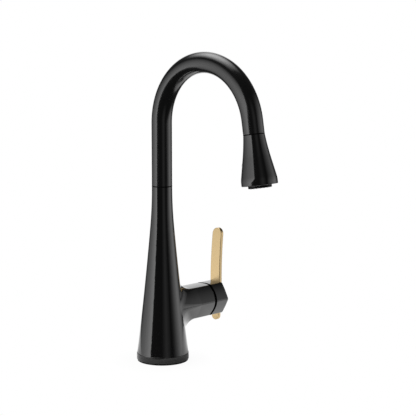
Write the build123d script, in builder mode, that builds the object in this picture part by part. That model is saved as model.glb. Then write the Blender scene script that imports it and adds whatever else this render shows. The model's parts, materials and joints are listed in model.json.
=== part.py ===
"""Pull-down bar faucet: flared column, swivelling gooseneck, side lever and a spray head on a hose.

Millimetres, +Z up. The origin is the centre of the base on the deck. The spout points to -Y and
the lever stands on the +X side. Threads are plain cylinders at their outer diameter.
"""

import os
from math import cos, radians, sin, tan

from build123d import *

os.makedirs("parts", exist_ok=True)

# Clearances
SEAT_GAP = 0.1  # a piece pressed, glued or screwed into its seat
RUN_GAP = 0.05  # a shaft in its bush
MOVE_GAP = 0.4  # pieces that pass each other
LIFT_GAP = 0.3  # a moving face over a fixed one

# Spout
SPOUT_R = 11.5
SPOUT_WALL = 1.4
SWIVEL_Z = 200.0  # height of the seam between column and spout
SWIVEL_SEAM = 1.2
ARC_R = 69.6
ARC_CENTRE_Z = 272.0
ARC_SWEEP = 170.5
OUTLET_RUN = 14.0  # straight run from the end of the arc to the seam with the head
HEAD_SEAM = 0.3

# Column
WAIST_R = 13.5
WAIST_DROP = 45.0  # from the seam down to where its tight curve gives way to the long flare
COLUMN_WALL = 4.0  # at the foot, round the base ring's spigot
FLARE_WALL = 3.0
SOCKET_WALL = 1.9
SHOULDER_T = 3.0
SOCKET_DEPTH = 32.0

# Base and fixings
BASE_R = 29.7
BASE_STEP = 0.5  # the ring stands this far out from the column
BASE_H = 7.5
BASE_EDGE = 0.6
GASKET_T = 1.5
GASKET_INSET = 0.9
SPIGOT_H = 5.0
SHANK_R = 16.0
SHANK_WALL = 2.5
SHANK_LENGTH = 48.0
SHANK_PLAIN = 24.0  # smooth length under the base, above the nut's thread
THREAD_RELIEF = 0.4
FLANGE_OVER = 4.0
FLANGE_T = 3.0
DECK_T = 25.0  # deck thickness at which the nut is drawn
WASHER_OVER = 11.0
WASHER_T = 3.0
NUT_OVER = 6.0
NUT_H = 10.0
NUT_EDGE = 1.2

# Side arm and valve
VALVE_Z = 60.3
HEX_APOTHEM = 18.5  # from the arm's axis to the middle of a face
HEX_CROWN = 0.5  # the faces bulge this much
HEX_ROUND = 2.5
ROOT_X = 3.0
ROOT_ROUND = 14.0  # the hexagon's corners fade into the column
ROOT_SHARE = 1.04  # of the column's radius, to which the root spreads at front and back
NECK_X = 22.0
NECK_ROUND = 8.0
NECK_SHARE = 0.45  # of the root's spread
ARM_FILLET = 18.0
ARM_WALL = 4.0
PIVOT_X = 43.0  # centre on which the lever tilts and turns
SEAM_R = 29.6  # ball face at the end of the arm
SEAM_GAP = 2.0
DUST_SEAL_T = 0.8  # soft lining of the hub's rim in the seam
TILT = 18.0
MANIFOLD_X = 24.0
MANIFOLD_T = 16.0
MANIFOLD_H = 14.0
MANIFOLD_R = 14.0
TUBE_R = 3.5
TUBE_WALL = 0.9
TUBE_RING_R = 9.4  # circle on which the three tubes stand
PORT_DEPTH = 8.0
TUBE_END_R = 4.0
TUBE_END = 18.0
INLET_DROP = 85.0  # below the deck
OUTLET_DROP = 84.0
VALVE_GASKET_T = 1.2
CARTRIDGE_WALL = 2.8
CARTRIDGE_BASE = 3.0
CARTRIDGE_LENGTH = 28.8
PORT_R = 2.4
PORT_RING_R = 5.5  # circle of the three ports
DISC_T = 3.0
DISC_R = 8.0
CARRIER_T = 4.0
ROTOR_T = 11.3
CAP_T = 2.0
BONNET_T = 6.0
STEM_R = 3.3
STEM_BALL_R = 4.3
STEM_TAIL = 6.6
TAIL_R = 1.1
TAIL_BALL_R = 1.6
STEM_PIN_R = 1.25
STEM_PIN_LENGTH = 19.0

# Hub and lever
HUB_END_X = 87.0
HUB_EDGE = 0.8
STEM_SOCKET = 9.0
LEVER_T = 4.0
LEVER_SINK = 2.0  # depth of the channel in the end of the hub
LEVER_W = 15.0
LEVER_TIP_W = 14.2
LEVER_TAIL_W = 11.0
LEVER_TOP_Z = 142.0
LEVER_FOOT_Z = 32.4
LEVER_BOW = 3.8
LEVER_EDGE = 0.5
LEVER_SCREW_R = 1.5
LEVER_SCREW_HEAD_R = 2.75
LEVER_SCREW_HEAD_T = 3.0
LEVER_SCREW_SPAN = 22.0
LEVER_SCREW_BITE = 2.5
SET_SCREW_R = 2.0
SET_SCREW_LENGTH = 8.0
SET_PLUG_T = 2.0
SET_PLUG_INSET = 0.3

# Swivel
SLEEVE_WALL = 1.5
SLEEVE_RISE = 25.0
SLEEVE_TAIL = 8.0
BUSH_T = 1.55
LOWER_BUSH_H = 10.0
SEAL_H = 4.0
CLIP_T = 1.5
CLIP_DEPTH = 0.8
CLIP_OVER = 1.4
CLIP_SLOT = 5.0

# Hose
HOSE_R = 5.25
HOSE_BORE_R = 3.4
HOSE_LEAD = 9.0
HOSE_DROP = 44.0  # below the deck
TAILPIECE_R = 5.5
TAILPIECE_LENGTH = 20.0
TAILPIECE_GROOVE = 0.8
FERRULE_R = 5.6
FERRULE_LENGTH = 13.4
COLLAR_R = 7.4
COLLAR_T = 3.6
CHECK_VALVE_LENGTH = 10.0
CHECK_VALVE_BORE_R = 1.6

# Docking parts in the end of the spout
DOCK_S = 1.0
DOCK_LENGTH = 12.9
DOCK_WALL = 1.4
DOCK_LIP = 1.5
MAGNET_T = 3.0
KEEPER_T = 1.3

# Spray head
HEAD_END_S = 68.3  # along the head's axis from the end of the arc
HEAD_WAIST_S = 38.0
HEAD_WAIST_R = 14.75
BUMPER_T = 0.8  # soft ring between head and spout
HEAD_LEAN = 0.1  # slope of the head's side where it leaves the seam
HEAD_BAND = 6.3
HEAD_R = 19.5
HEAD_RIM = 0.8
HEAD_BLEND = 28.0  # where the flared side turns into the band
HEAD_NECK_R = 9.0
HEAD_NECK = 4.9
PLUG_R = 8.2
PLUG_FLANGE_R = 10.0
PLUG_FLANGE_T = 2.0
CORE_NECK_R = 9.6
CORE_NECK = 18.0
CORE_CUP = 8.0
CORE_INSET = 0.4  # the core is this much smaller than the spray face
CORE_END_S = 56.0
CORE_BORE_R = 4.0
CORE_SEAL_T = 1.5
MAT_T = 2.0
FACE_FLANGE_T = 3.5
FACE_END_S = 71.3
FACE_EDGE = 0.6
RETAINER_T = 3.5
RETAINER_W = 4.3
MOUTH_WALL = 2.6
NUB_R = 0.85
NUB_HOLE_GAP = 0.15
NUB_PROUD = 0.2
NUB_EDGE = 2.3  # from the rim of the face to the outer ring of nubs
NUB_RING_STEP = 3.0
NUB_COUNTS = (16, 10)  # outer ring first
AERATOR_WEB = 1.45  # between the aerator and the inner ring of nubs
AERATOR_INSET = 0.5
AERATOR_GROOVES = (1.2, 2.4, 3.6)
AERATOR_GROOVE_W = 0.6
AERATOR_GROOVE_DEPTH = 1.2

# Spray button on the back of the head
BUTTON_S = 47.0
BUTTON_R = 5.6
BUTTON_PROUD = 1.4
BUTTON_DOME = 0.6
BUTTON_TRAVEL = 1.6
SPOOL_R = 2.0
SPOOL_IN = 3.0
SPRING_R = 3.3
SPRING_WIRE_R = 0.25
SPRING_TURNS = 3
SPRING_POCKET = 2.2  # hollow under the button for the spring

# Places worked out from the sizes above
UP = (0, 0, 1)
OUT = (1, 0, 0)
TUBE_FOOT_Z = SWIVEL_Z + SWIVEL_SEAM
TUBE_BORE_R = SPOUT_R - SPOUT_WALL
WAIST_Z = SWIVEL_Z - WAIST_DROP
WAIST_BORE_R = WAIST_R - FLARE_WALL
SOCKET_R = SPOUT_R - SOCKET_WALL
SOCKET_FOOT_Z = SWIVEL_Z - SOCKET_DEPTH
SHOULDER_Z = SOCKET_FOOT_Z - SHOULDER_T
SLEEVE_R = SOCKET_R - SEAT_GAP - BUSH_T - RUN_GAP
SLEEVE_BORE_R = SLEEVE_R - SLEEVE_WALL
BASE_TOP_Z = GASKET_T + BASE_H
FLARE_R = BASE_R - BASE_STEP
SPIGOT_R = FLARE_R - COLUMN_WALL
SPIGOT_TOP_Z = BASE_TOP_Z + SPIGOT_H
SHANK_BORE_R = SHANK_R - SHANK_WALL
THREAD_R = SHANK_R - THREAD_RELIEF
HOSE_FOOT_Z = -HOSE_DROP
ARC_END = Vector(0, -ARC_R * (1 - cos(radians(ARC_SWEEP))), ARC_CENTRE_Z + ARC_R * sin(radians(ARC_SWEEP)))
HEAD_DIR = Vector(0, -sin(radians(ARC_SWEEP)), cos(radians(ARC_SWEEP)))
BACK_DIR = Vector(1, 0, 0).cross(HEAD_DIR)
ARM_BORE_R = HEX_APOTHEM - ARM_WALL
HEX_CORNER_R = (HEX_APOTHEM - HEX_CROWN) / cos(radians(30))
HUB_BALL_R = SEAM_R + SEAM_GAP
HUB_SOCKET_R = HUB_BALL_R + DUST_SEAL_T
CARTRIDGE_X = MANIFOLD_X + VALVE_GASKET_T
CARTRIDGE_R = ARM_BORE_R - LIFT_GAP
CARTRIDGE_BORE_R = CARTRIDGE_R - CARTRIDGE_WALL
FIXED_DISC_X = CARTRIDGE_X + CARTRIDGE_BASE
MOVING_DISC_X = FIXED_DISC_X + DISC_T + RUN_GAP
CARRIER_X = MOVING_DISC_X + DISC_T
ROTOR_X = CARRIER_X + CARRIER_T + MOVE_GAP
ROTOR_END_X = ROTOR_X + ROTOR_T
CARTRIDGE_END_X = CARTRIDGE_X + CARTRIDGE_LENGTH
BONNET_END_X = CARTRIDGE_END_X + BONNET_T
STEM_END_X = PIVOT_X + HUB_SOCKET_R + STEM_SOCKET
LEVER_X = HUB_END_X - LEVER_SINK
PLUG_S = OUTLET_RUN + HEAD_SEAM
SHELL_S = PLUG_S + BUMPER_T
NECK_S = PLUG_S + HEAD_NECK
CORE_S = NECK_S + PLUG_FLANGE_T
FERRULE_END_S = HOSE_LEAD + FERRULE_LENGTH
FACE_S = CORE_END_S + CORE_SEAL_T + MAT_T
MOUTH_R = HEAD_R - MOUTH_WALL
FACE_R = MOUTH_R - RETAINER_W
CORE_R = FACE_R - CORE_INSET
NUB_RINGS = [(FACE_R - NUB_EDGE - ring * NUB_RING_STEP, count) for ring, count in enumerate(NUB_COUNTS)]
AERATOR_R = NUB_RINGS[-1][0] - NUB_R - AERATOR_WEB
BUTTON_IN = CORE_R + BUTTON_TRAVEL + MOVE_GAP  # inner face of the button at rest
POCKET_TOP = BUTTON_IN + SPRING_POCKET
POCKET_R = SPRING_R + SPRING_WIRE_R + MOVE_GAP


def axial(origin, along, out):
    """Sketch plane whose X runs out from an axis and whose Y runs along it."""
    return Plane(origin=origin, x_dir=out, z_dir=Vector(*out).cross(Vector(*along)))


def save(piece, name):
    """Labels a finished piece and writes it."""
    piece.part.label = name
    export_step(piece.part, f"parts/{name}.step")


def turned(name, plane, *steps):
    """Writes a piece turned on the plane's Y from steps of inner radius, outer radius, start and end."""
    with BuildPart() as piece:
        with BuildSketch(plane):
            for r_in, r_out, start, end in steps:
                with Locations(((r_in + r_out) / 2, (start + end) / 2)):
                    Rectangle(r_out - r_in, end - start)
        revolve(axis=Axis(plane.origin, plane.y_dir))
    save(piece, name)


def stem_room(x):
    """Radius that the tilted stem needs around the arm's axis at distance x from the column."""
    return (x - PIVOT_X) * tan(radians(TILT)) + STEM_R / cos(radians(TILT)) + MOVE_GAP


COLUMN = axial((0, 0, 0), UP, OUT)  # Y is the height above the deck
ARM = axial((0, 0, VALVE_Z), OUT, UP)  # Y is the distance out from the column's axis
HEAD = axial(ARC_END, HEAD_DIR, OUT)  # Y is the distance past the end of the arc
BUTTON = axial(ARC_END + HEAD_DIR * BUTTON_S, BACK_DIR, OUT)  # Y is the distance from the head's axis
PIVOT = (PIVOT_X, 0, VALVE_Z)


def across_arm(x):
    """Sketch plane square to the arm at distance x, with X to the back and Y up."""
    return Plane(origin=(x, 0, VALVE_Z), x_dir=(0, 1, 0), z_dir=OUT)


def hexagon(x, rounding, spread=0):
    """The arm's section at x: a hexagon, crowned faces, round corners, wider by spread on each side."""
    regular = [Vector(HEX_CORNER_R, 0).rotate(Axis.Z, 60 * side) for side in range(6)]
    corners = [Vector(corner.X * (1 + spread / HEX_CORNER_R), corner.Y) for corner in regular]
    with BuildSketch(across_arm(x)) as section:
        with BuildLine():
            for start, end in zip(corners, corners[1:] + corners[:1]):
                SagittaArc(start, end, -HEX_CROWN)
        make_face()
        fillet(section.vertices(), rounding)
    return section.sketch


# Column with the hexagonal side arm, whose end is a ball face
with BuildPart() as arm_tip:
    with Locations(PIVOT):
        Sphere(SEAM_R)
    extrude(hexagon(PIVOT_X, HEX_ROUND), amount=SEAM_R, mode=Mode.INTERSECT)

with BuildPart() as body_shell:
    with BuildSketch(axial((0, 0, 0), UP, (-1, 0, 0))):
        with BuildLine():
            waist = TangentArc((SPOUT_R, SWIVEL_Z), (WAIST_R, WAIST_Z), tangent=(0, -1))
            flare = TangentArc(waist @ 1, (FLARE_R, BASE_TOP_Z), tangent=waist % 1)
            Polyline(flare @ 1, (0, BASE_TOP_Z), (0, SWIVEL_Z), waist @ 0)
        make_face()
    revolve(axis=Axis.Z)
    arm_share = (WAIST_Z - VALVE_Z) / (WAIST_Z - BASE_TOP_Z)
    root_spread = max(ROOT_SHARE * (flare @ arm_share).X - HEX_CORNER_R, 0)
    loft(
        [
            hexagon(ROOT_X, ROOT_ROUND, root_spread),
            hexagon(NECK_X, NECK_ROUND, NECK_SHARE * root_spread),
            hexagon(PIVOT_X, HEX_ROUND),
        ]
    )
    root = [edge for edge in body_shell.edges(Select.NEW) if edge.center().X < PIVOT_X - ARM_FILLET / 2]
    fillet(root, ARM_FILLET)
    add(arm_tip.part)
    with BuildSketch(COLUMN):
        with BuildLine():
            hollow = ThreePointArc(*[flare @ share - Vector(FLARE_WALL, 0) for share in (0, 0.5, 0.9)])
            Polyline(
                hollow @ 0,
                (WAIST_BORE_R, SHOULDER_Z),
                (SLEEVE_R + MOVE_GAP, SHOULDER_Z),
                (SLEEVE_R + MOVE_GAP, SOCKET_FOOT_Z),
                (SOCKET_R, SOCKET_FOOT_Z),
                (SOCKET_R, SWIVEL_Z),
                (0, SWIVEL_Z),
                (0, BASE_TOP_Z),
                (SPIGOT_R + SEAT_GAP, BASE_TOP_Z),
                (SPIGOT_R + SEAT_GAP, SPIGOT_TOP_Z + FLANGE_T),
                hollow @ 1,
            )
        make_face()
    revolve(axis=Axis.Z, mode=Mode.SUBTRACT)
    with BuildSketch(across_arm(MANIFOLD_X - MANIFOLD_T)):
        Circle(ARM_BORE_R)
    extrude(amount=PIVOT_X + SEAM_R, mode=Mode.SUBTRACT)
save(body_shell, "body_shell")

# Base ring, gasket and shank
with BuildPart() as base_ring:
    with BuildSketch(COLUMN):
        with BuildLine():
            Polyline(
                (SHANK_R + RUN_GAP, GASKET_T),
                (BASE_R, GASKET_T),
                (BASE_R, BASE_TOP_Z),
                (SPIGOT_R, BASE_TOP_Z),
                (SPIGOT_R, SPIGOT_TOP_Z),
                (SHANK_R + RUN_GAP, SPIGOT_TOP_Z),
                close=True,
            )
        make_face()
    revolve(axis=Axis.Z)
    rims = [edge for edge in base_ring.edges().filter_by(GeomType.CIRCLE) if edge.radius > FLARE_R]
    fillet(rims, min(BASE_EDGE, 0.9 * (BASE_R - SPIGOT_R)))
save(base_ring, "base_ring")

turned("base_gasket", COLUMN, (SHANK_R + FLANGE_OVER, BASE_R - GASKET_INSET, 0, GASKET_T))
turned(
    "mounting_shank",
    COLUMN,
    (SHANK_BORE_R, THREAD_R, -SHANK_LENGTH, -SHANK_PLAIN),
    (SHANK_BORE_R, SHANK_R, -SHANK_PLAIN, 0),
    (SHANK_BORE_R, THREAD_R, 0, GASKET_T),
    (SHANK_BORE_R, SHANK_R, GASKET_T, SPIGOT_TOP_Z),
    (SHANK_BORE_R, SHANK_R + FLANGE_OVER, SPIGOT_TOP_Z, SPIGOT_TOP_Z + FLANGE_T),
)

# Washer and nut under the deck
turned("deck_washer", COLUMN, (SHANK_R + MOVE_GAP, SHANK_R + WASHER_OVER, -DECK_T - WASHER_T, -DECK_T))

with BuildPart() as mounting_nut:
    with BuildSketch(Plane.XY.offset(-DECK_T - WASHER_T - NUT_H)):
        RegularPolygon(SHANK_R + NUT_OVER, 6, major_radius=False)
        Circle(THREAD_R + MOVE_GAP, mode=Mode.SUBTRACT)
    extrude(amount=NUT_H)
    chamfer(mounting_nut.faces().sort_by(Axis.Z)[0].outer_wire().edges(), NUT_EDGE)
save(mounting_nut, "mounting_nut")

# Water block behind the cartridge, round the hose
with BuildPart() as valve_manifold:
    with BuildSketch(Plane.XY.offset(VALVE_Z - MANIFOLD_R - MANIFOLD_H / 2)):
        Circle(MANIFOLD_R)
    extrude(amount=MANIFOLD_H)
    with BuildSketch(across_arm(MANIFOLD_X - MANIFOLD_T)):
        Circle(ARM_BORE_R - SEAT_GAP)
    extrude(amount=MANIFOLD_T)
    with BuildSketch(Plane.XY):
        Circle(HOSE_R + MOVE_GAP)
    extrude(amount=2 * VALVE_Z, mode=Mode.SUBTRACT)
    with BuildSketch(Plane.XY.offset(VALVE_Z - MANIFOLD_R - MANIFOLD_H / 2)):
        with PolarLocations(TUBE_RING_R, 3, start_angle=90):
            Circle(TUBE_R + RUN_GAP)
    extrude(amount=PORT_DEPTH, mode=Mode.SUBTRACT)
    with BuildSketch(across_arm(MANIFOLD_X)):
        with PolarLocations(PORT_RING_R, 3, start_angle=90):
            Circle(PORT_R)
    extrude(amount=-PORT_DEPTH, mode=Mode.SUBTRACT)
save(valve_manifold, "valve_manifold")

# Water tubes down through the shank
PORT_TOP_Z = VALVE_Z - MANIFOLD_R - MANIFOLD_H / 2 + PORT_DEPTH
for tube, angle, drop in (
    ("outlet_tube", 90, OUTLET_DROP),
    ("hot_inlet_tube", 210, INLET_DROP),
    ("cold_inlet_tube", 330, INLET_DROP),
):
    foot = (TUBE_RING_R * cos(radians(angle)), TUBE_RING_R * sin(radians(angle)), 0)
    turned(
        tube,
        axial(foot, UP, OUT),
        (TUBE_R - TUBE_WALL, TUBE_END_R, -drop, TUBE_END - drop),
        (TUBE_R - TUBE_WALL, TUBE_R, TUBE_END - drop, PORT_TOP_Z),
    )

# Cartridge


def ported_disc(name, x, thickness, radius):
    """Writes a flat disc square to the arm with the three water ports through it."""
    with BuildPart() as disc:
        with BuildSketch(across_arm(x)):
            Circle(radius)
            with PolarLocations(PORT_RING_R, 3, start_angle=90):
                Circle(PORT_R, mode=Mode.SUBTRACT)
        extrude(amount=thickness)
    save(disc, name)


ported_disc("cartridge_gasket", MANIFOLD_X, VALVE_GASKET_T, CARTRIDGE_BORE_R)
ported_disc("fixed_disc", FIXED_DISC_X, DISC_T, CARTRIDGE_BORE_R - SEAT_GAP)

with BuildPart() as cartridge_body:
    with BuildSketch(across_arm(CARTRIDGE_X)):
        Circle(CARTRIDGE_R)
        with PolarLocations(PORT_RING_R, 3, start_angle=90):
            Circle(PORT_R, mode=Mode.SUBTRACT)
    extrude(amount=CARTRIDGE_BASE)
    with BuildSketch(across_arm(FIXED_DISC_X)):
        Circle(CARTRIDGE_R)
        Circle(CARTRIDGE_BORE_R, mode=Mode.SUBTRACT)
    extrude(amount=CARTRIDGE_LENGTH - CARTRIDGE_BASE)
save(cartridge_body, "cartridge_body")

turned("moving_disc", ARM, (0, DISC_R, MOVING_DISC_X, CARRIER_X))
turned("disc_carrier", ARM, (TAIL_BALL_R + MOVE_GAP, DISC_R, CARRIER_X, CARRIER_X + CARRIER_T))

with BuildPart() as cartridge_rotor:
    with BuildSketch(across_arm(ROTOR_X)):
        Circle(CARTRIDGE_BORE_R - LIFT_GAP)
        Circle(STEM_BALL_R + MOVE_GAP, mode=Mode.SUBTRACT)
    extrude(amount=ROTOR_T)
    with BuildSketch(across_arm(ROTOR_END_X)):
        Circle(max(stem_room(ROTOR_END_X), STEM_BALL_R + MOVE_GAP))
    extrude(amount=PIVOT_X + 2 * STEM_PIN_R - ROTOR_END_X, mode=Mode.SUBTRACT)
    with Locations(PIVOT):
        Cylinder(STEM_PIN_R + RUN_GAP, STEM_PIN_LENGTH, rotation=(90, 0, 0), mode=Mode.SUBTRACT)
save(cartridge_rotor, "cartridge_rotor")

with BuildPart() as stem_pin:
    with Locations(PIVOT):
        Cylinder(STEM_PIN_R, STEM_PIN_LENGTH, rotation=(90, 0, 0))
save(stem_pin, "stem_pin")

turned(
    "cartridge_cap",
    ARM,
    (
        stem_room(ROTOR_END_X + LIFT_GAP + CAP_T),
        CARTRIDGE_BORE_R - SEAT_GAP,
        ROTOR_END_X + LIFT_GAP,
        ROTOR_END_X + LIFT_GAP + CAP_T,
    ),
)
turned("bonnet_nut", ARM, (stem_room(BONNET_END_X), ARM_BORE_R - SEAT_GAP, CARTRIDGE_END_X, BONNET_END_X))

with BuildPart() as cartridge_stem:
    with Locations(PIVOT):
        Sphere(STEM_BALL_R)
    with Locations((PIVOT_X - STEM_TAIL, 0, VALVE_Z)):
        Sphere(TAIL_BALL_R)
    with BuildSketch(across_arm(PIVOT_X - STEM_TAIL)):
        Circle(TAIL_R)
    extrude(amount=STEM_TAIL)
    with BuildSketch(across_arm(PIVOT_X)):
        Circle(STEM_R)
    extrude(amount=STEM_END_X - PIVOT_X)
    with Locations(PIVOT):
        Cylinder(STEM_PIN_R + RUN_GAP, 4 * STEM_BALL_R, rotation=(90, 0, 0), mode=Mode.SUBTRACT)
save(cartridge_stem, "cartridge_stem")

# Lever: a flat bar, upright through the hub and bowed outward above it
HUB_TOP_Z = VALVE_Z + HEX_APOTHEM
LEVER_TIP_R = LEVER_TIP_W / 2
LEVER_TAIL_R = LEVER_TAIL_W / 2
LEVER_FACE = Plane(origin=(LEVER_X, 0, 0), x_dir=(0, 1, 0), z_dir=OUT)
LEVER_SCREW_Z = (VALVE_Z - LEVER_SCREW_SPAN / 2, VALVE_Z + LEVER_SCREW_SPAN / 2)


def lever_outline(gap):
    """The lever's front grown by gap: a tapered tail and a long blade with round ends."""
    with BuildSketch(LEVER_FACE) as outline:
        with BuildLine():
            tail = ThreePointArc(
                (-LEVER_TAIL_R - gap, LEVER_FOOT_Z + LEVER_TAIL_R),
                (0, LEVER_FOOT_Z - gap),
                (LEVER_TAIL_R + gap, LEVER_FOOT_Z + LEVER_TAIL_R),
            )
            right = Polyline(
                tail @ 1,
                (LEVER_W / 2 + gap, HUB_TOP_Z),
                (LEVER_TIP_R + gap, LEVER_TOP_Z - LEVER_TIP_R),
            )
            tip = ThreePointArc(
                right @ 1,
                (0, LEVER_TOP_Z + gap),
                (-LEVER_TIP_R - gap, LEVER_TOP_Z - LEVER_TIP_R),
            )
            Polyline(tip @ 1, (-LEVER_W / 2 - gap, HUB_TOP_Z), tail @ 0)
        make_face()
    return outline.sketch


with BuildPart() as lever_blade:
    with BuildSketch(Plane.XZ):
        with BuildLine():
            inner = Line((LEVER_X, LEVER_FOOT_Z), (LEVER_X, HUB_TOP_Z))
            inner_bow = TangentArc(inner @ 1, (LEVER_X + LEVER_BOW, LEVER_TOP_Z), tangent=(0, 1))
            outer = Line((LEVER_X + LEVER_T, LEVER_FOOT_Z), (LEVER_X + LEVER_T, HUB_TOP_Z))
            outer_bow = TangentArc(outer @ 1, (LEVER_X + LEVER_T + LEVER_BOW, LEVER_TOP_Z), tangent=(0, 1))
            Line(inner @ 0, outer @ 0)
            Line(inner_bow @ 1, outer_bow @ 1)
        make_face()
    extrude(amount=LEVER_W, both=True)
    extrude(lever_outline(0), amount=LEVER_T + 2 * LEVER_BOW, mode=Mode.INTERSECT)
    across = [edge for edge in lever_blade.edges() if abs((edge % 0.5).X) > 0.9]
    bow_lines = lever_blade.edges().filter_by(Axis.Y)
    fillet(lever_blade.edges() - across - bow_lines, LEVER_EDGE)
    for screw_z in LEVER_SCREW_Z:
        with BuildSketch(Plane(origin=(LEVER_X, 0, screw_z), z_dir=OUT)):
            Circle(LEVER_SCREW_R + RUN_GAP)
        extrude(amount=LEVER_SCREW_BITE, mode=Mode.SUBTRACT)
save(lever_blade, "lever_blade")

# Hub: the hexagon carried on past the ball seam
SET_SCREW_DIR = Vector(0, cos(radians(30)), -sin(radians(30)))
SET_SCREW_X = STEM_END_X - STEM_SOCKET / 2
SET_SCREW = axial((SET_SCREW_X, 0, VALVE_Z), SET_SCREW_DIR, OUT)  # Y is the distance from the stem's axis
LEVER_SCREW_HEAD_X = PIVOT_X + HUB_SOCKET_R + LEVER_SCREW_HEAD_T

with BuildPart() as handle_hub:
    extrude(hexagon(PIVOT_X + STEM_R, HEX_ROUND), amount=HUB_END_X - PIVOT_X - STEM_R)
    chamfer(handle_hub.faces().sort_by(Axis.X)[-1].edges(), HUB_EDGE)
    with Locations(PIVOT):
        Sphere(HUB_SOCKET_R, mode=Mode.SUBTRACT)
    with BuildSketch(across_arm(PIVOT_X)):
        Circle(STEM_R + RUN_GAP)
    extrude(amount=STEM_END_X - PIVOT_X, mode=Mode.SUBTRACT)
    extrude(lever_outline(SEAT_GAP), amount=LEVER_T, mode=Mode.SUBTRACT)
    for screw_z in LEVER_SCREW_Z:
        with BuildSketch(Plane(origin=(PIVOT_X, 0, screw_z), z_dir=OUT)):
            Circle(LEVER_SCREW_HEAD_R + SEAT_GAP)
        extrude(amount=LEVER_SCREW_HEAD_X - PIVOT_X, mode=Mode.SUBTRACT)
        with BuildSketch(Plane(origin=(PIVOT_X, 0, screw_z), z_dir=OUT)):
            Circle(LEVER_SCREW_R + SEAT_GAP)
        extrude(amount=HUB_END_X - PIVOT_X, mode=Mode.SUBTRACT)
    with BuildSketch(SET_SCREW):
        with Locations(((SET_SCREW_R + RUN_GAP) / 2, HEX_APOTHEM / 2)):
            Rectangle(SET_SCREW_R + RUN_GAP, HEX_APOTHEM)
    revolve(axis=Axis(SET_SCREW.origin, SET_SCREW_DIR), mode=Mode.SUBTRACT)
save(handle_hub, "handle_hub")

with BuildPart() as hub_dust_seal:
    with Locations(PIVOT):
        Sphere(HUB_SOCKET_R)
        Sphere(HUB_BALL_R, mode=Mode.SUBTRACT)
    extrude(hexagon(PIVOT_X + STEM_R, HEX_ROUND), amount=HUB_END_X - PIVOT_X - STEM_R, mode=Mode.INTERSECT)
    with BuildSketch(across_arm(PIVOT_X)):
        Circle(ARM_BORE_R)
    extrude(amount=HUB_END_X - PIVOT_X, mode=Mode.SUBTRACT)
save(hub_dust_seal, "hub_dust_seal")

with BuildPart() as lever_screws:
    for screw_z in LEVER_SCREW_Z:
        with BuildSketch(Plane(origin=(LEVER_SCREW_HEAD_X, 0, screw_z), z_dir=OUT)):
            Circle(LEVER_SCREW_HEAD_R)
        extrude(amount=-LEVER_SCREW_HEAD_T)
        with BuildSketch(Plane(origin=(LEVER_SCREW_HEAD_X, 0, screw_z), z_dir=OUT)):
            Circle(LEVER_SCREW_R)
        extrude(amount=LEVER_X + LEVER_SCREW_BITE - LEVER_SCREW_HEAD_X)
save(lever_screws, "lever_screws")

turned("hub_set_screw", SET_SCREW, (0, SET_SCREW_R, STEM_R, STEM_R + SET_SCREW_LENGTH))
turned(
    "set_screw_plug",
    SET_SCREW,
    (0, SET_SCREW_R, HEX_APOTHEM - SET_PLUG_INSET - SET_PLUG_T, HEX_APOTHEM - SET_PLUG_INSET),
)

# Swivel: bushes and seal in the column, sleeve and clip on the spout
BUSH_FOOT_Z = SOCKET_FOOT_Z
SEAL_Z = BUSH_FOOT_Z + LOWER_BUSH_H
UPPER_BUSH_Z = SEAL_Z + SEAL_H
CLIP_TOP_Z = SHOULDER_Z - LIFT_GAP
CLIP_FOOT_Z = CLIP_TOP_Z - CLIP_T
CLIP_SEAT_R = SLEEVE_R - CLIP_DEPTH
BUSH_RADII = (SLEEVE_R + RUN_GAP, SOCKET_R - SEAT_GAP)

turned("lower_bush", COLUMN, (*BUSH_RADII, BUSH_FOOT_Z, SEAL_Z))
turned("swivel_seal", COLUMN, (*BUSH_RADII, SEAL_Z, UPPER_BUSH_Z))
turned("upper_bush", COLUMN, (*BUSH_RADII, UPPER_BUSH_Z, SWIVEL_Z))
turned("swivel_glide_ring", COLUMN, (BUSH_RADII[0], SPOUT_R, SWIVEL_Z, TUBE_FOOT_Z - RUN_GAP))
turned(
    "spout_sleeve",
    COLUMN,
    (SLEEVE_BORE_R, SLEEVE_R, CLIP_FOOT_Z - SLEEVE_TAIL, CLIP_FOOT_Z),
    (SLEEVE_BORE_R, CLIP_SEAT_R, CLIP_FOOT_Z, CLIP_TOP_Z),
    (SLEEVE_BORE_R, SLEEVE_R, CLIP_TOP_Z, TUBE_FOOT_Z),
    (SLEEVE_BORE_R, TUBE_BORE_R - SEAT_GAP, TUBE_FOOT_Z, TUBE_FOOT_Z + SLEEVE_RISE),
)

with BuildPart() as spout_clip:
    with BuildSketch(Plane.XY.offset(CLIP_FOOT_Z)):
        Circle(SLEEVE_R + CLIP_OVER)
        Circle(CLIP_SEAT_R + RUN_GAP, mode=Mode.SUBTRACT)
        with Locations((0, SLEEVE_R)):
            Rectangle(CLIP_SLOT, 2 * SLEEVE_R, mode=Mode.SUBTRACT)
    extrude(amount=CLIP_T)
save(spout_clip, "spout_clip")


# Gooseneck tube and the hose inside it
def gooseneck(name, foot_z, run, r_out, r_in):
    """Writes a tube that rises from foot_z, follows the arc and runs on straight past its end."""
    with BuildPart() as tube:
        with BuildLine():
            riser = Line((0, 0, foot_z), (0, 0, ARC_CENTRE_Z))
            bend = ThreePointArc(riser @ 1, (0, -ARC_R, ARC_CENTRE_Z + ARC_R), ARC_END)
            if run > 0:
                Line(bend @ 1, ARC_END + HEAD_DIR * run)
        with BuildSketch(Plane.XY.offset(foot_z)):
            Circle(r_out)
            Circle(r_in, mode=Mode.SUBTRACT)
        sweep()
    save(tube, name)


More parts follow.
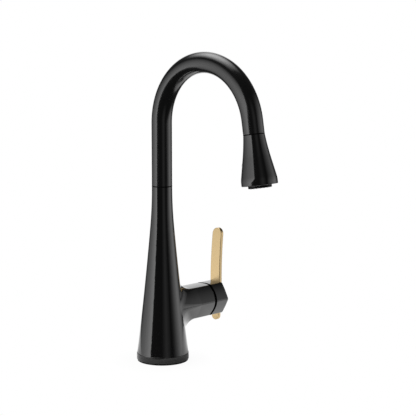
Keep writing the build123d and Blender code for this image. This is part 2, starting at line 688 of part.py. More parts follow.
gooseneck("spout_tube", TUBE_FOOT_Z, OUTLET_RUN, SPOUT_R, TUBE_BORE_R)
gooseneck("spray_hose", HOSE_FOOT_Z, 0, HOSE_R, HOSE_BORE_R)
turned(
    "hose_tailpiece",
    COLUMN,
    (HOSE_BORE_R, TAILPIECE_R, HOSE_FOOT_Z - TAILPIECE_LENGTH / 3, HOSE_FOOT_Z),
    (HOSE_BORE_R, TAILPIECE_R - TAILPIECE_GROOVE, HOSE_FOOT_Z - TAILPIECE_LENGTH * 2 / 3, HOSE_FOOT_Z),
    (HOSE_BORE_R, TAILPIECE_R, HOSE_FOOT_Z - TAILPIECE_LENGTH, HOSE_FOOT_Z - TAILPIECE_LENGTH * 2 / 3),
)

# Docking collar and magnet in the spout's end
HOSE_WAY_R = FERRULE_R + MOVE_GAP
COLLAR_BORE_R = TUBE_BORE_R - SEAT_GAP - DOCK_WALL
MAGNET_S = DOCK_S + DOCK_LIP
KEEPER_S = MAGNET_S + MAGNET_T + LIFT_GAP

turned(
    "dock_collar",
    HEAD,
    (HOSE_WAY_R, TUBE_BORE_R - SEAT_GAP, DOCK_S, MAGNET_S),
    (COLLAR_BORE_R, TUBE_BORE_R - SEAT_GAP, MAGNET_S, DOCK_S + DOCK_LENGTH),
)
turned("dock_magnet", HEAD, (HOSE_WAY_R, COLLAR_BORE_R - RUN_GAP, MAGNET_S, MAGNET_S + MAGNET_T))

# Hose end with its swivel collar and check valve
turned("hose_lead", HEAD, (HOSE_BORE_R, HOSE_R, RUN_GAP, HOSE_LEAD))
turned(
    "hose_ferrule",
    HEAD,
    (HOSE_BORE_R, FERRULE_R, HOSE_LEAD, FERRULE_END_S),
    (HOSE_BORE_R, COLLAR_R, FERRULE_END_S, FERRULE_END_S + COLLAR_T),
)
turned(
    "check_valve",
    HEAD,
    (
        CHECK_VALVE_BORE_R,
        HOSE_BORE_R - RUN_GAP,
        FERRULE_END_S + COLLAR_T - CHECK_VALVE_LENGTH,
        FERRULE_END_S + COLLAR_T,
    ),
)

# Spray head
BUTTON_HOLE_R = BUTTON_R + MOVE_GAP

with BuildPart() as head_shell:
    with BuildSketch(HEAD):
        with BuildLine():
            neck = TangentArc((SPOUT_R, SHELL_S), (HEAD_WAIST_R, HEAD_WAIST_S), tangent=(HEAD_LEAN, 1))
            Polyline(
                neck @ 1,
                (HEAD_R, HEAD_END_S - HEAD_BAND),
                (HEAD_R, HEAD_END_S),
                (MOUTH_R, HEAD_END_S),
                (MOUTH_R, FACE_S),
                (MOUTH_R - RUN_GAP, CORE_END_S),
                (PLUG_FLANGE_R + SEAT_GAP, NECK_S),
                (HEAD_NECK_R, NECK_S),
                (HEAD_NECK_R, SHELL_S),
                neck @ 0,
            )
        make_face()
    revolve(axis=Axis(HEAD.origin, HEAD_DIR))
    rounds = head_shell.edges().filter_by(GeomType.CIRCLE)
    widest = rounds.filter_by(lambda edge: abs(edge.radius - HEAD_R) < RUN_GAP)
    crease, rim = widest.sort_by(Axis(HEAD.origin, HEAD_DIR))
    fillet(rim, HEAD_RIM)
    fillet(crease, HEAD_BLEND)
    with BuildSketch(BUTTON):
        with Locations((BUTTON_HOLE_R / 2, HEAD_R / 2 + BUTTON_IN / 2)):
            Rectangle(BUTTON_HOLE_R, HEAD_R)
    revolve(axis=Axis(BUTTON.origin, BACK_DIR), mode=Mode.SUBTRACT)
save(head_shell, "head_shell")

turned("head_bumper", HEAD, (HEAD_NECK_R, SPOUT_R, PLUG_S, SHELL_S))
turned(
    "dock_plug",
    HEAD,
    (HOSE_WAY_R, PLUG_R, KEEPER_S + KEEPER_T, PLUG_S),
    (HOSE_WAY_R, HEAD_NECK_R - SEAT_GAP, PLUG_S, NECK_S),
    (HOSE_WAY_R, PLUG_FLANGE_R, NECK_S, CORE_S),
)
turned("dock_keeper", HEAD, (HOSE_WAY_R, PLUG_R, KEEPER_S, KEEPER_S + KEEPER_T))

with BuildPart() as head_core:
    with BuildSketch(HEAD):
        with BuildLine():
            Polyline(
                (COLLAR_R + MOVE_GAP, CORE_S),
                (CORE_NECK_R, CORE_S),
                (CORE_NECK_R, CORE_S + CORE_NECK),
                (CORE_R, CORE_S + CORE_NECK),
                (CORE_R, CORE_END_S),
                (CORE_BORE_R, CORE_END_S),
                (CORE_BORE_R, CORE_S + CORE_CUP),
                (COLLAR_R + MOVE_GAP, CORE_S + CORE_CUP),
                close=True,
            )
        make_face()
    revolve(axis=Axis(HEAD.origin, HEAD_DIR))
    with BuildSketch(BUTTON):
        with Locations(((SPOOL_R + MOVE_GAP) / 2, CORE_R / 2)):
            Rectangle(SPOOL_R + MOVE_GAP, CORE_R)
    revolve(axis=Axis(BUTTON.origin, BACK_DIR), mode=Mode.SUBTRACT)
save(head_core, "head_core")

turned("core_seal", HEAD, (AERATOR_R + NUB_R, CORE_R, CORE_END_S, CORE_END_S + CORE_SEAL_T))


with BuildPart() as nozzle_mat:
    with BuildSketch(Plane(ARC_END + HEAD_DIR * (FACE_S - MAT_T), x_dir=OUT, z_dir=HEAD_DIR)):
        Circle(CORE_R)
        Circle(AERATOR_R + SEAT_GAP, mode=Mode.SUBTRACT)
    extrude(amount=MAT_T)
    with BuildSketch(Plane(ARC_END + HEAD_DIR * FACE_S, x_dir=OUT, z_dir=HEAD_DIR)):
        for ring_r, count in NUB_RINGS:
            with PolarLocations(ring_r, count):
                Circle(NUB_R)
    extrude(amount=FACE_END_S + NUB_PROUD - FACE_S)
save(nozzle_mat, "nozzle_mat")

with BuildPart() as spray_face:
    with BuildSketch(Plane(ARC_END + HEAD_DIR * FACE_S, x_dir=OUT, z_dir=HEAD_DIR)):
        Circle(MOUTH_R - SEAT_GAP)
    extrude(amount=FACE_FLANGE_T)
    with BuildSketch(Plane(ARC_END + HEAD_DIR * (FACE_S + FACE_FLANGE_T), x_dir=OUT, z_dir=HEAD_DIR)):
        Circle(FACE_R)
    extrude(amount=FACE_END_S - FACE_S - FACE_FLANGE_T)
    fillet(spray_face.faces().sort_by(Axis(ARC_END, HEAD_DIR))[-1].edges(), FACE_EDGE)
    with BuildSketch(Plane(ARC_END + HEAD_DIR * FACE_S, x_dir=OUT, z_dir=HEAD_DIR)):
        Circle(AERATOR_R + SEAT_GAP)
        for ring_r, count in NUB_RINGS:
            with PolarLocations(ring_r, count):
                Circle(NUB_R + NUB_HOLE_GAP)
    extrude(amount=FACE_END_S - FACE_S, mode=Mode.SUBTRACT)
save(spray_face, "spray_face")

turned(
    "face_retainer",
    HEAD,
    (FACE_R + SEAT_GAP, MOUTH_R - SEAT_GAP, FACE_S + FACE_FLANGE_T, FACE_S + FACE_FLANGE_T + RETAINER_T),
)

with BuildPart() as aerator:
    with BuildSketch(HEAD):
        with Locations((AERATOR_R / 2, (FACE_S - MAT_T + FACE_END_S - AERATOR_INSET) / 2)):
            Rectangle(AERATOR_R, FACE_END_S - AERATOR_INSET - FACE_S + MAT_T)
        with Locations(*[(groove, FACE_END_S - AERATOR_INSET) for groove in AERATOR_GROOVES]):
            Rectangle(AERATOR_GROOVE_W, 2 * AERATOR_GROOVE_DEPTH, mode=Mode.SUBTRACT)
    revolve(axis=Axis(HEAD.origin, HEAD_DIR))
save(aerator, "aerator")

# Spray button, its spool and its spring
BUTTON_FACE_R = HEAD_WAIST_R + (HEAD_R - HEAD_WAIST_R) * (BUTTON_S - HEAD_WAIST_S) / (
    HEAD_END_S - HEAD_BAND - HEAD_WAIST_S
)
BUTTON_OUT = BUTTON_FACE_R + BUTTON_PROUD

with BuildPart() as mode_button:
    with BuildSketch(BUTTON):
        with Locations((BUTTON_R / 2, (BUTTON_IN + BUTTON_OUT) / 2)):
            Rectangle(BUTTON_R, BUTTON_OUT - BUTTON_IN)
        with Locations((POCKET_R / 2, (BUTTON_IN + POCKET_TOP) / 2)):
            Rectangle(POCKET_R, SPRING_POCKET, mode=Mode.SUBTRACT)
    revolve(axis=Axis(BUTTON.origin, BACK_DIR))
    fillet(mode_button.faces().sort_by(Axis(BUTTON.origin, BACK_DIR))[-1].edges(), BUTTON_DOME)
save(mode_button, "mode_button")

turned("diverter_spool", BUTTON, (0, SPOOL_R, SPOOL_IN, POCKET_TOP))

SPRING_ROOM = POCKET_TOP - CORE_R - 2 * SPRING_WIRE_R - 2 * RUN_GAP
SPRING_FOOT = BUTTON.origin + BACK_DIR * (CORE_R + SPRING_WIRE_R + RUN_GAP)
with BuildPart() as button_spring:
    with BuildLine() as coil:
        Helix(SPRING_ROOM / SPRING_TURNS, SPRING_ROOM, SPRING_R, center=SPRING_FOOT, direction=BACK_DIR)
    with BuildSketch(Plane(coil.line @ 0, z_dir=coil.line % 0)):
        Circle(SPRING_WIRE_R)
    sweep()
save(button_spring, "button_spring")
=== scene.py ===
"""Pull-down bar faucet: finishes, small detail pieces, studio and camera."""

import json
from math import cos, pi, radians, sin, tau

import bpy
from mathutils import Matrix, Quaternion, Vector


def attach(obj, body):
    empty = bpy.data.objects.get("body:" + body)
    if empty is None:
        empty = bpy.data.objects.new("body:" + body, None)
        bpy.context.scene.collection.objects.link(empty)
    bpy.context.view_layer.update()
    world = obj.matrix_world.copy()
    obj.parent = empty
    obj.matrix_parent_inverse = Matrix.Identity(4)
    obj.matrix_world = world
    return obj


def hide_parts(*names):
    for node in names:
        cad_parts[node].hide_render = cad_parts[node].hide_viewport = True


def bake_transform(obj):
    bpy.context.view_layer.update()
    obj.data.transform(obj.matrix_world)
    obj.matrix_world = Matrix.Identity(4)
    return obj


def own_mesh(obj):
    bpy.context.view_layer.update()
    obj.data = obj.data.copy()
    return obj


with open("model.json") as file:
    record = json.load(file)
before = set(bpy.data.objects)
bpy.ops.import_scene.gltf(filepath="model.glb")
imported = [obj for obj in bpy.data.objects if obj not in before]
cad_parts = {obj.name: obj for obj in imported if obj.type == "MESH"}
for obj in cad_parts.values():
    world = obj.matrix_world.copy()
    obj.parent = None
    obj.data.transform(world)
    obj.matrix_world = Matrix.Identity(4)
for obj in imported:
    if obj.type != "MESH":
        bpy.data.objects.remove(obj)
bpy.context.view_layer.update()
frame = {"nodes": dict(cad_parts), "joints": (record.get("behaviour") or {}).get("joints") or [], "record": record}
nodes = frame["nodes"]
joints = {joint["name"]: joint for joint in frame["joints"]}

# Camera line, as seen from the middle of the faucet
LOOK = Vector((0.70167, 0.69557, -0.15438)).normalized()
SIDE = Vector((0.7040, -0.7102, 0)).normalized()
BEHIND = Vector((LOOK.x, LOOK.y, 0)).normalized()
MIDDLE = Vector((0, -0.04, 0.18))

# Shared surface effects


def make_group(name, inputs, outputs):
    """Shader node group with named sockets. inputs and outputs list (name, kind)."""
    group = bpy.data.node_groups.new(name, "ShaderNodeTree")
    for label, kind in inputs:
        group.interface.new_socket(label, in_out="INPUT", socket_type="NodeSocket" + kind)
    for label, kind in outputs:
        group.interface.new_socket(label, in_out="OUTPUT", socket_type="NodeSocket" + kind)
    return group, group.nodes.new("NodeGroupInput"), group.nodes.new("NodeGroupOutput")


def put(tree, kind, **values):
    """Adds a node and sets its named inputs: a socket is linked and anything else is a value."""
    node = tree.nodes.new("ShaderNode" + kind)
    for label, value in values.items():
        socket = node.inputs[label.replace("_", " ")]
        if isinstance(value, bpy.types.NodeSocket):
            tree.links.new(value, socket)
        else:
            socket.default_value = value
    return node


def work_out(tree, kind, operation, *terms):
    """Node of kind Math or VectorMath that does a sum: a socket is linked and anything else is a value."""
    node = tree.nodes.new("ShaderNode" + kind)
    node.operation = operation
    for term, socket in zip(terms, node.inputs):
        if isinstance(term, bpy.types.NodeSocket):
            tree.links.new(term, socket)
        else:
            socket.default_value = term
    return node


def worked_out(tree, operation, *terms):
    """Result of a sum on plain numbers."""
    return work_out(tree, "Math", operation, *terms).outputs[0]


def mix_colours(tree, share, first, second):
    """Colour between two others, by share."""
    node = tree.nodes.new("ShaderNodeMix")
    node.data_type = "RGBA"
    tree.links.new(share, node.inputs["Factor"])
    tree.links.new(first, node.inputs[6])
    tree.links.new(second, node.inputs[7])
    return node.outputs[2]


def tint(group, given, out, share):
    """Sets a surface effect's colour, between its deep and its pale tone, by share."""
    group.links.new(mix_colours(group, share, given.outputs["Deep"], given.outputs["Pale"]), out.inputs["Color"])


TONE_INPUTS = [("Deep", "Color"), ("Pale", "Color"), ("Smooth", "Float"), ("Rough", "Float")]
SURFACE_OUTPUTS = [("Color", "Color"), ("Roughness", "Float"), ("Height", "Float")]


def skin_group():
    """Painted, moulded or ground skin: slow drift of tone and gloss, and a fine orange peel."""
    group, given, out = make_group("skin", [*TONE_INPUTS, ("Peel Scale", "Float")], SURFACE_OUTPUTS)
    place = put(group, "TexCoord").outputs["Object"]
    drift = put(group, "TexNoise", Vector=place, Scale=38.0, Detail=3.0, Roughness=0.55)
    tone = put(group, "MapRange", Value=drift.outputs["Fac"], From_Min=0.3, From_Max=0.7)
    tint(group, given, out, tone.outputs["Result"])
    handled = put(group, "TexNoise", Vector=place, Scale=90.0, Detail=4.0, Roughness=0.6)
    gloss = put(
        group,
        "MapRange",
        Value=handled.outputs["Fac"],
        From_Min=0.3,
        From_Max=0.7,
        To_Min=given.outputs["Smooth"],
        To_Max=given.outputs["Rough"],
    )
    group.links.new(gloss.outputs["Result"], out.inputs["Roughness"])
    peel = put(group, "TexNoise", Vector=place, Scale=given.outputs["Peel Scale"], Detail=2.0)
    group.links.new(peel.outputs["Fac"], out.inputs["Height"])
    return group


def brushed_group():
    """Metal with fine lines: noise drawn out along one direction, in tone, gloss and height."""
    group, given, out = make_group("brushed", [*TONE_INPUTS, ("Lines", "Vector")], SURFACE_OUTPUTS)
    place = put(group, "TexCoord").outputs["Object"]
    drawn = work_out(group, "VectorMath", "MULTIPLY", place, given.outputs["Lines"])
    lines = put(group, "TexNoise", Vector=drawn.outputs["Vector"], Scale=1.0, Detail=6.0, Roughness=0.65)
    tone = put(group, "MapRange", Value=lines.outputs["Fac"], From_Min=0.3, From_Max=0.7)
    tint(group, given, out, tone.outputs["Result"])
    gloss = put(
        group,
        "MapRange",
        Value=lines.outputs["Fac"],
        From_Min=0.25,
        From_Max=0.75,
        To_Min=given.outputs["Smooth"],
        To_Max=given.outputs["Rough"],
    )
    group.links.new(gloss.outputs["Result"], out.inputs["Roughness"])
    group.links.new(lines.outputs["Fac"], out.inputs["Height"])
    return group


STRANDS_ROUND = 8


def braid_group():
    """Woven sleeve in UV: two sets of slanting strands, one over the other, darker where the weave lies low:
    painted shade between the strands.
    """
    group, given, out = make_group("braid", TONE_INPUTS, SURFACE_OUTPUTS)
    flat = put(group, "SeparateXYZ", Vector=put(group, "TexCoord").outputs["UV"])
    waves = []
    for slant in ("ADD", "SUBTRACT"):
        along = worked_out(group, slant, flat.outputs["X"], flat.outputs["Y"])
        waves.append(worked_out(group, "SINE", worked_out(group, "MULTIPLY", along, tau * STRANDS_ROUND)))
    over = worked_out(group, "MAXIMUM", *waves)
    strand = put(group, "MapRange", Value=over, From_Min=-0.6, From_Max=1.0)
    share = strand.outputs["Result"]
    # Colour follows the weave's height, deep in the low parts: painted shade between the strands
    tint(group, given, out, share)
    gloss = put(group, "MapRange", Value=share, To_Min=given.outputs["Rough"], To_Max=given.outputs["Smooth"])
    group.links.new(gloss.outputs["Result"], out.inputs["Roughness"])
    group.links.new(share, out.inputs["Height"])
    return group


SKIN = skin_group()
BRUSHED = brushed_group()
BRAID = braid_group()


def surface(name, effect, deep, pale, smooth, rough, bump, shader=None, **extra):
    """Material from a surface effect. bump is the relief in metres; shader sets the shader's own sockets."""
    material = bpy.data.materials.new(name)
    material.use_nodes = True
    tree = material.node_tree
    skin = tree.nodes.new("ShaderNodeGroup")
    skin.node_tree = effect
    levels = {"Deep": (*deep, 1), "Pale": (*pale, 1), "Smooth": smooth, "Rough": rough, **extra}
    for label, value in levels.items():
        skin.inputs[label].default_value = value
    principled = tree.nodes["Principled BSDF"]
    tree.links.new(skin.outputs["Color"], principled.inputs["Base Color"])
    tree.links.new(skin.outputs["Roughness"], principled.inputs["Roughness"])
    relief = put(tree, "Bump", Strength=1.0, Distance=bump, Height=skin.outputs["Height"])
    tree.links.new(relief.outputs["Normal"], principled.inputs["Normal"])
    for label, value in (shader or {}).items():
        principled.inputs[label].default_value = value
    return material


LACQUER = {"Coat Weight": 0.7, "Coat Roughness": 0.03, "IOR": 1.5}
METAL = {"Metallic": 1.0}
MATTE = {"Specular IOR Level": 0.12}
PAINTED_SHADE_DULL = {"Specular IOR Level": 0.0}
MICRON = 1e-6

finishes = {
    "black_metal": surface(
        "satin_black_lacquer", SKIN, (0.0035, 0.0035, 0.0038), (0.005, 0.005, 0.0053), 0.07, 0.1, 0.15 * MICRON,
        LACQUER, **{"Peel Scale": 900.0},
    ),
    "black_shell": surface(
        "satin_black_shell", SKIN, (0.004, 0.004, 0.0043), (0.0055, 0.0055, 0.0058), 0.12, 0.17, 0.2 * MICRON,
        LACQUER, **{"Peel Scale": 1200.0},
    ),
    "gold": surface(
        "brushed_gold", BRUSHED, (0.61, 0.45, 0.23), (0.69, 0.52, 0.29), 0.24, 0.34, 1.5 * MICRON,
        METAL, Lines=(3000.0, 3000.0, 60.0),
    ),
    "bare_brass": surface(
        "turned_brass", BRUSHED, (0.60, 0.43, 0.18), (0.76, 0.58, 0.28), 0.25, 0.40, 3 * MICRON,
        METAL, Lines=(80.0, 80.0, 4000.0),
    ),
    "steel": surface(
        "stainless_steel", BRUSHED, (0.50, 0.50, 0.51), (0.68, 0.68, 0.68), 0.22, 0.36, 2 * MICRON,
        METAL, Lines=(200.0, 200.0, 3000.0),
    ),
    "copper_tube": surface(
        "drawn_copper", BRUSHED, (0.62, 0.30, 0.19), (0.78, 0.44, 0.30), 0.22, 0.38, 2 * MICRON,
        METAL, Lines=(2500.0, 2500.0, 40.0),
    ),
    "magnet": surface(
        "sintered_magnet", SKIN, (0.20, 0.20, 0.21), (0.32, 0.32, 0.33), 0.35, 0.55, 6 * MICRON,
        METAL, **{"Peel Scale": 3000.0},
    ),
    "rubber": surface(
        "moulded_rubber", SKIN, (0.006, 0.006, 0.006), (0.014, 0.014, 0.014), 0.50, 0.70, 10 * MICRON,
        MATTE, **{"Peel Scale": 2600.0},
    ),
    "white_plastic": surface(
        "moulded_acetal", SKIN, (0.72, 0.72, 0.69), (0.82, 0.82, 0.79), 0.35, 0.48, 4 * MICRON,
        **{"Peel Scale": 1800.0},
    ),
    "grey_plastic": surface(
        "dark_grey_face", SKIN, (0.010, 0.010, 0.011), (0.017, 0.017, 0.018), 0.28, 0.42, 4 * MICRON,
        MATTE, **{"Peel Scale": 2200.0},
    ),
    "black_plastic": surface(
        "black_moulding", SKIN, (0.005, 0.005, 0.005), (0.010, 0.010, 0.010), 0.35, 0.50, 4 * MICRON,
        **{"Peel Scale": 2200.0},
    ),
    "hose_braid": surface(
        "braided_hose", BRAID, (0.006, 0.006, 0.006), (0.040, 0.040, 0.042), 0.35, 0.70, 250 * MICRON,
    ),
    "ceramic": surface(
        "ground_ceramic", SKIN, (0.74, 0.73, 0.70), (0.84, 0.83, 0.80), 0.18, 0.30, 1 * MICRON,
        **{"Peel Scale": 4000.0},
    ),
}
for piece in frame["record"]["subparts"]:
    for slot in nodes[piece["node"]].material_slots:
        slot.material = finishes[piece["material_slot"]]
# Rings in the seams, made without any reflection so they stay dark in the bright bands: real rubber rings carrying
# painted shade of the seam gaps
seam_shade_finish = surface(
    "seam_ring_painted_shade", SKIN, (0.005, 0.005, 0.005), (0.012, 0.012, 0.012), 0.50, 0.70, 10 * MICRON,
    PAINTED_SHADE_DULL, **{"Peel Scale": 2600.0},
)
for name in ("swivel_glide_ring", "head_bumper", "hub_dust_seal"):
    nodes[name].material_slots[0].material = seam_shade_finish
# The drawn tube is a little softer than the castings
nodes["spout_tube"].material_slots[0].material = surface(
    "satin_black_tube", SKIN, (0.0035, 0.0035, 0.0038), (0.005, 0.005, 0.0053), 0.18, 0.24, 0.15 * MICRON,
    {**LACQUER, "Coat Roughness": 0.1}, **{"Peel Scale": 900.0},
)
# The hose inside the spout has no weave laid out on it
nodes["spray_hose"].material_slots[0].material = surface(
    "hose_sleeve", SKIN, (0.006, 0.006, 0.006), (0.030, 0.030, 0.032), 0.40, 0.65, 60 * MICRON,
    **{"Peel Scale": 1500.0},
)

# Detail pieces


def wrap_mesh(name, rings, closed_ends=False):
    """Smooth mesh through rings of points, each ring closed."""
    around = len(rings[0])
    points = [point for ring in rings for point in ring]
    faces = []
    for row in range(len(rings) - 1):
        here, there = row * around, (row + 1) * around
        for step in range(around):
            after = (step + 1) % around
            faces.append((here + step, here + after, there + after, there + step))
    if closed_ends:
        faces.append(tuple(reversed(range(around))))
        faces.append(tuple(range((len(rings) - 1) * around, len(rings) * around)))
    mesh = bpy.data.meshes.new(name)
    mesh.from_pydata(points, [], faces)
    mesh.shade_smooth()
    made = bpy.data.objects.new(name, mesh)
    bpy.context.scene.collection.objects.link(made)
    return made


def round_points(centre, first, second, radius, sides):
    """Points on a circle, from the first direction towards the second."""
    turns = [tau * step / sides for step in range(sides)]
    return [centre + (first * cos(turn) + second * sin(turn)) * radius for turn in turns]


def finish_piece(made, slot, finish=None):
    """Gives a new piece its finish, the slot's own if no other is named."""
    made.data.materials.append(finish or finishes[slot])
    return made


# Hose drawn out with the head, from the spout towards the hose's end: built at rest, its weave spaced for the
# length drawn out
PULL = joints["head_pull"]
PULL_DIR = Vector(PULL["axis"]).normalized()
PULL_ROOT = Vector(joints["head_turn"]["pos_m"])
HOSE_R = 0.00525
HOSE_LEAD = 0.009
HOSE_GAP = 0.0001
HOSE_RINGS = 24
HOSE_SIDES = 48
across = Vector((1, 0, 0))
upright = PULL_DIR.cross(across)
hose_rings = []
for row in range(HOSE_RINGS + 1):
    centre = PULL_ROOT + PULL_DIR * (HOSE_GAP + (HOSE_LEAD - HOSE_GAP) * row / HOSE_RINGS)
    hose_rings.append(round_points(centre, across, upright, HOSE_R, HOSE_SIDES))
hose = wrap_mesh("drawn_hose", hose_rings)
weave = hose.data.uv_layers.new(name="weave")
for face in hose.data.polygons:
    for loop in face.loop_indices:
        corner = hose.data.loops[loop].vertex_index
        row, step = divmod(corner, HOSE_SIDES)
        turn = step / HOSE_SIDES
        if step == 0 and face.index % HOSE_SIDES == HOSE_SIDES - 1:
            turn = 1.0
        share = row / HOSE_RINGS
        eased = share * share * (3 - 2 * share)
        weave.data[loop].uv = (turn, (HOSE_LEAD * share + PULL["range_m"][1] * eased) / (tau * HOSE_R))
finish_piece(hose, "hose_braid")
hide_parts("hose_lead")
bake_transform(hose)

# Soft lip of the head's bumper, which all but closes the seam with the spout
LIP_RADII = (0.0095, 0.01145)
LIP_T = 0.00022
LIP_SIDES = 96
bumper = nodes["head_bumper"]
seam = min((bumper.matrix_world @ corner.co - PULL_ROOT).dot(PULL_DIR) for corner in bumper.data.vertices)
lip_rings = []
for radius, depth in zip((*LIP_RADII, *reversed(LIP_RADII), LIP_RADII[0]), (LIP_T, LIP_T, 0, 0, LIP_T)):
    centre = PULL_ROOT + PULL_DIR * (seam - depth)
    lip_rings.append(round_points(centre, across, upright, radius, LIP_SIDES))
lip = wrap_mesh("bumper_lip", lip_rings)
# The lip takes the same non-reflecting seam finish: painted shade in the seam
finish_piece(lip, "rubber", seam_shade_finish)
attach(lip, "spray_head")

# Spring under the spray button, which the button squeezes as it goes in: wound here at rest, in the room of the
# spring part
PRESS = joints["spray_button_press"]
PRESS_DIR = Vector(PRESS["axis"]).normalized()
COIL_R = 0.0033
COIL_TURNS = 3
COIL_STEPS = 48
WIRE_R = 0.00025
WIRE_SIDES = 12
rise = PRESS_DIR.cross(across)
spring = nodes["button_spring"]
coil_corners = [spring.matrix_world @ corner.co for corner in spring.data.vertices]


def reach_along(direction):
    """Least and greatest distance of the spring's corners along a direction."""
    distances = [corner.dot(direction) for corner in coil_corners]
    return min(distances), max(distances)


coil_top, coil_foot = reach_along(PRESS_DIR)
coil_axis = across * (sum(reach_along(across)) / 2) + rise * (sum(reach_along(rise)) / 2)
coil_room = coil_foot - coil_top - 2 * WIRE_R
coil_rings = []
for row in range(COIL_TURNS * COIL_STEPS + 1):
    outward = across * cos(tau * row / COIL_STEPS) + rise * sin(tau * row / COIL_STEPS)
    depth = coil_foot - WIRE_R - coil_room * row / (COIL_TURNS * COIL_STEPS)
    centre = coil_axis + PRESS_DIR * depth + outward * COIL_R
    coil_rings.append(round_points(centre, outward, PRESS_DIR, WIRE_R, WIRE_SIDES))
coil = wrap_mesh("squeezed_spring", coil_rings, closed_ends=True)
finish_piece(coil, "steel")
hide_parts("button_spring")
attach(coil, "spray_head")
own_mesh(coil)

# Thread cut in the lower part of the shank
THREAD_ROOT_R = 0.0156
THREAD_CREST_R = 0.01585
THREAD_PITCH = 0.0015
THREAD_TOP_Z = -0.0247
THREAD_TURNS = 15
THREAD_SIDES = 96
THREAD_STEPS = (0.0, 0.3, 0.5, 0.8)  # shares of a pitch
CREST_PARTS = (1, 2)
THREAD_SUNK = 0.0001  # how far the root lies under the shank
THREAD_LEAN = 0.15
thread_rings = []
for row in range(THREAD_TURNS * len(THREAD_STEPS) + 1):
    turn, part = divmod(row, len(THREAD_STEPS))
    ring = []
    for step in range(THREAD_SIDES):
        radius = THREAD_CREST_R if part in CREST_PARTS else THREAD_ROOT_R - THREAD_SUNK
        angle = tau * step / THREAD_SIDES
        height = THREAD_TOP_Z - THREAD_PITCH * (turn + THREAD_STEPS[part] + THREAD_LEAN * sin(angle))
        ring.append((radius * cos(angle), radius * sin(angle), height))
    thread_rings.append(ring)
thread = wrap_mesh("shank_thread", thread_rings)
finish_piece(thread, "bare_brass")
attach(thread, "body")

# Studio: pale floor, white beyond it, soft panels to each side, above and in front


def backdrop_share(tree, seen, mirrored):
    """How much of the plain backdrop a ray sees: seen by the camera, and mirrored in metal or through glass."""
    rays = put(tree, "LightPath")
    gloss = worked_out(tree, "MAXIMUM", rays.outputs["Is Glossy Ray"], rays.outputs["Is Transmission Ray"])
    return worked_out(
        tree,
        "MAXIMUM",
        worked_out(tree, "MULTIPLY", rays.outputs["Is Camera Ray"], seen),
        worked_out(tree, "MULTIPLY", gloss, mirrored),
    )


def flat_disc(name, middle, radius, height):
    """Flat round sheet of the stage."""
    sides = 96
    mesh = bpy.data.meshes.new(name)
    turns = [tau * step / sides for step in range(sides)]
    mesh.from_pydata(
        [(middle.x + radius * cos(turn), middle.y + radius * sin(turn), height) for turn in turns],
        [],
        [tuple(range(sides))],
    )
    disc = bpy.data.objects.new(name, mesh)
    bpy.context.scene.collection.objects.link(disc)
    return disc


# White sheet under the faucet and behind it, which keeps its shadow and shows in the metal. Near the column its
# glow gives way to its lit surface, slightly for the camera and mostly in the metal: painted shade around the
# base, together with the real shadow
SHEET_BACK = 0.12
SHEET_RIGHT = 0.04
SHEET_R = 0.185
SHEET_Z = -0.0003
sheet = flat_disc("sheet", BEHIND * SHEET_BACK + SIDE * SHEET_RIGHT, SHEET_R, SHEET_Z)
paper = bpy.data.materials.new("white_paper")
paper.use_nodes = True
paper_tree = paper.node_tree
matte = paper_tree.nodes["Principled BSDF"]
matte.inputs["Base Color"].default_value = (0.9, 0.9, 0.9, 1)
matte.inputs["Roughness"].default_value = 0.9
bright = put(paper_tree, "Emission", Color=(1, 1, 1, 1), Strength=1.0)
spot = work_out(paper_tree, "VectorMath", "LENGTH", put(paper_tree, "TexCoord").outputs["Object"])
from_column = spot.outputs["Value"]
# Glow dimmed near the column, painted shade around the base: faint for the camera, deep in reflections
seen = put(paper_tree, "MapRange", Value=from_column, From_Min=0.03, From_Max=0.06, To_Min=0.96, To_Max=1.0)
mirrored = put(paper_tree, "MapRange", Value=from_column, From_Min=0.05, From_Max=0.11, To_Min=0.1, To_Max=1.0)
plain = backdrop_share(paper_tree, seen.outputs["Result"], mirrored.outputs["Result"])
paper_mix = put(paper_tree, "MixShader", Fac=plain)
paper_tree.links.new(matte.outputs[0], paper_mix.inputs[1])
paper_tree.links.new(bright.outputs[0], paper_mix.inputs[2])
paper_tree.links.new(paper_mix.outputs[0], paper_tree.nodes["Material Output"].inputs["Surface"])
sheet.data.materials.append(paper)

# Plain floor beyond the sheet, there for the camera alone
FLOOR_R = 0.8
FLOOR_Z = -0.0006
floor = flat_disc("floor", Vector((0, 0, 0)), FLOOR_R, FLOOR_Z)
pale = bpy.data.materials.new("pale_floor")
pale.use_nodes = True
pale_light = put(pale.node_tree, "Emission", Color=(1, 1, 1, 1), Strength=1.0)
pale.node_tree.links.new(pale_light.outputs[0], pale.node_tree.nodes["Material Output"].inputs["Surface"])
floor.data.materials.append(pale)
floor.visible_diffuse = False
floor.visible_glossy = False
floor.visible_shadow = False

# White backdrop behind the faucet, taller than it is wide, in a dim room
ROOM_LEVEL = 0.05
BACKDROP_RISE = 0.45  # the less, the taller
world = bpy.data.worlds.new("studio")
bpy.context.scene.world = world
world.use_nodes = True
sky = world.node_tree
white = sky.nodes["Background"]
white.inputs["Color"].default_value = (1, 1, 1, 1)
ray = put(sky, "TexCoord").outputs["Generated"]
tall = work_out(sky, "VectorMath", "MULTIPLY", ray, (1, 1, BACKDROP_RISE))
unit = work_out(sky, "VectorMath", "NORMALIZE", tall.outputs["Vector"])
heading = work_out(sky, "VectorMath", "DOT_PRODUCT", unit.outputs["Vector"], BEHIND)
backdrop = put(sky, "MapRange", Value=heading.outputs["Value"], From_Min=0.93, From_Max=0.985)
room = put(sky, "Background", Color=(1, 1, 1, 1), Strength=ROOM_LEVEL)
sky_mix = put(sky, "MixShader", Fac=backdrop_share(sky, 1.0, backdrop.outputs["Result"]))
sky.links.new(room.outputs[0], sky_mix.inputs[1])
sky.links.new(white.outputs[0], sky_mix.inputs[2])
sky.links.new(sky_mix.outputs[0], sky.nodes["World Output"].inputs["Surface"])

PANEL_STEP = 3.3


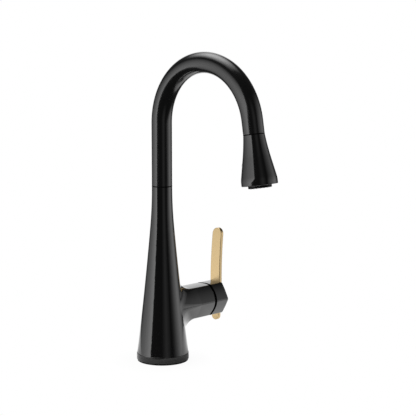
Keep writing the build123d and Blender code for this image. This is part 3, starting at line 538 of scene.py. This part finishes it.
def soft_panel(name, turn, lift, roll, slide, size, level, fade):
    """Area light that faces the faucet from one step away, turn degrees left of the camera and lift above it.

    It is rolled in its own plane, slid along its own width and height, and fades towards its edges.
    Slide and size are in steps.
    """
    lamp = bpy.data.lights.new(name, "AREA")
    lamp.use_nodes = True
    tree = lamp.node_tree
    sheet = put(tree, "SeparateXYZ", Vector=put(tree, "NewGeometry").outputs["Parametric"])
    strength = 1.0
    for axis, (low, high) in zip("XY", fade):
        for start, end in ((0.0, low), (1.0, 1.0 - high)):
            ramp = put(tree, "MapRange", Value=sheet.outputs[axis], From_Min=start, From_Max=end)
            strength = worked_out(tree, "MULTIPLY", strength, ramp.outputs["Result"])
    tree.links.new(strength, tree.nodes["Emission"].inputs["Strength"])
    lamp.shape = "RECTANGLE"
    lamp.size, lamp.size_y = size[0] * PANEL_STEP, size[1] * PANEL_STEP
    lamp.energy = level * pi * lamp.size * lamp.size_y
    holder = bpy.data.objects.new(name, lamp)
    level_dir = -BEHIND * cos(radians(turn)) - SIDE * sin(radians(turn))
    towards = level_dir * cos(radians(lift)) + Vector((0, 0, sin(radians(lift))))
    facing = towards.to_track_quat("Z", "Y") @ Quaternion((0, 0, 1), radians(roll))
    holder.location = MIDDLE + towards * PANEL_STEP + facing @ Vector((*slide, 0)) * PANEL_STEP
    holder.rotation_euler = facing.to_euler()
    holder.visible_camera = False
    bpy.context.scene.collection.objects.link(holder)


soft_panel("left_panel", 100, 0, 31, (0.76, -0.06), (3.52, 1.12), 2.25, ((0.42, 0.05), (0.03, 0.97)))
soft_panel("right_panel", -92, 0, -22, (-0.04, 0.14), (1.87, 1.16), 1.3, ((0.66, 0.4), (0.26, 0.6)))
soft_panel("top_panel", 145, 66, 0, (0.0, 0.0), (1.3, 1.3), 3.4, ((0.4, 0.4), (0.4, 0.4)))
soft_panel("front_panel", -20, 0, 0, (0.0, 0.0), (0.8, 1.6), 0.19, ((0.48, 0.48), (0.3, 0.3)))

camera_data = bpy.data.cameras.new("camera")
camera_data.lens = 125.75
camera_data.sensor_fit = "HORIZONTAL"
camera_data.sensor_width = 36.0
camera = bpy.data.objects.new("camera", camera_data)
camera.location = (-1.1131, -1.1762, 0.4282)
camera.rotation_euler = (-LOOK).to_track_quat("Z", "Y").to_euler()
bpy.context.scene.collection.objects.link(camera)
bpy.context.scene.camera = camera
bpy.context.scene.view_settings.view_transform = "Standard"
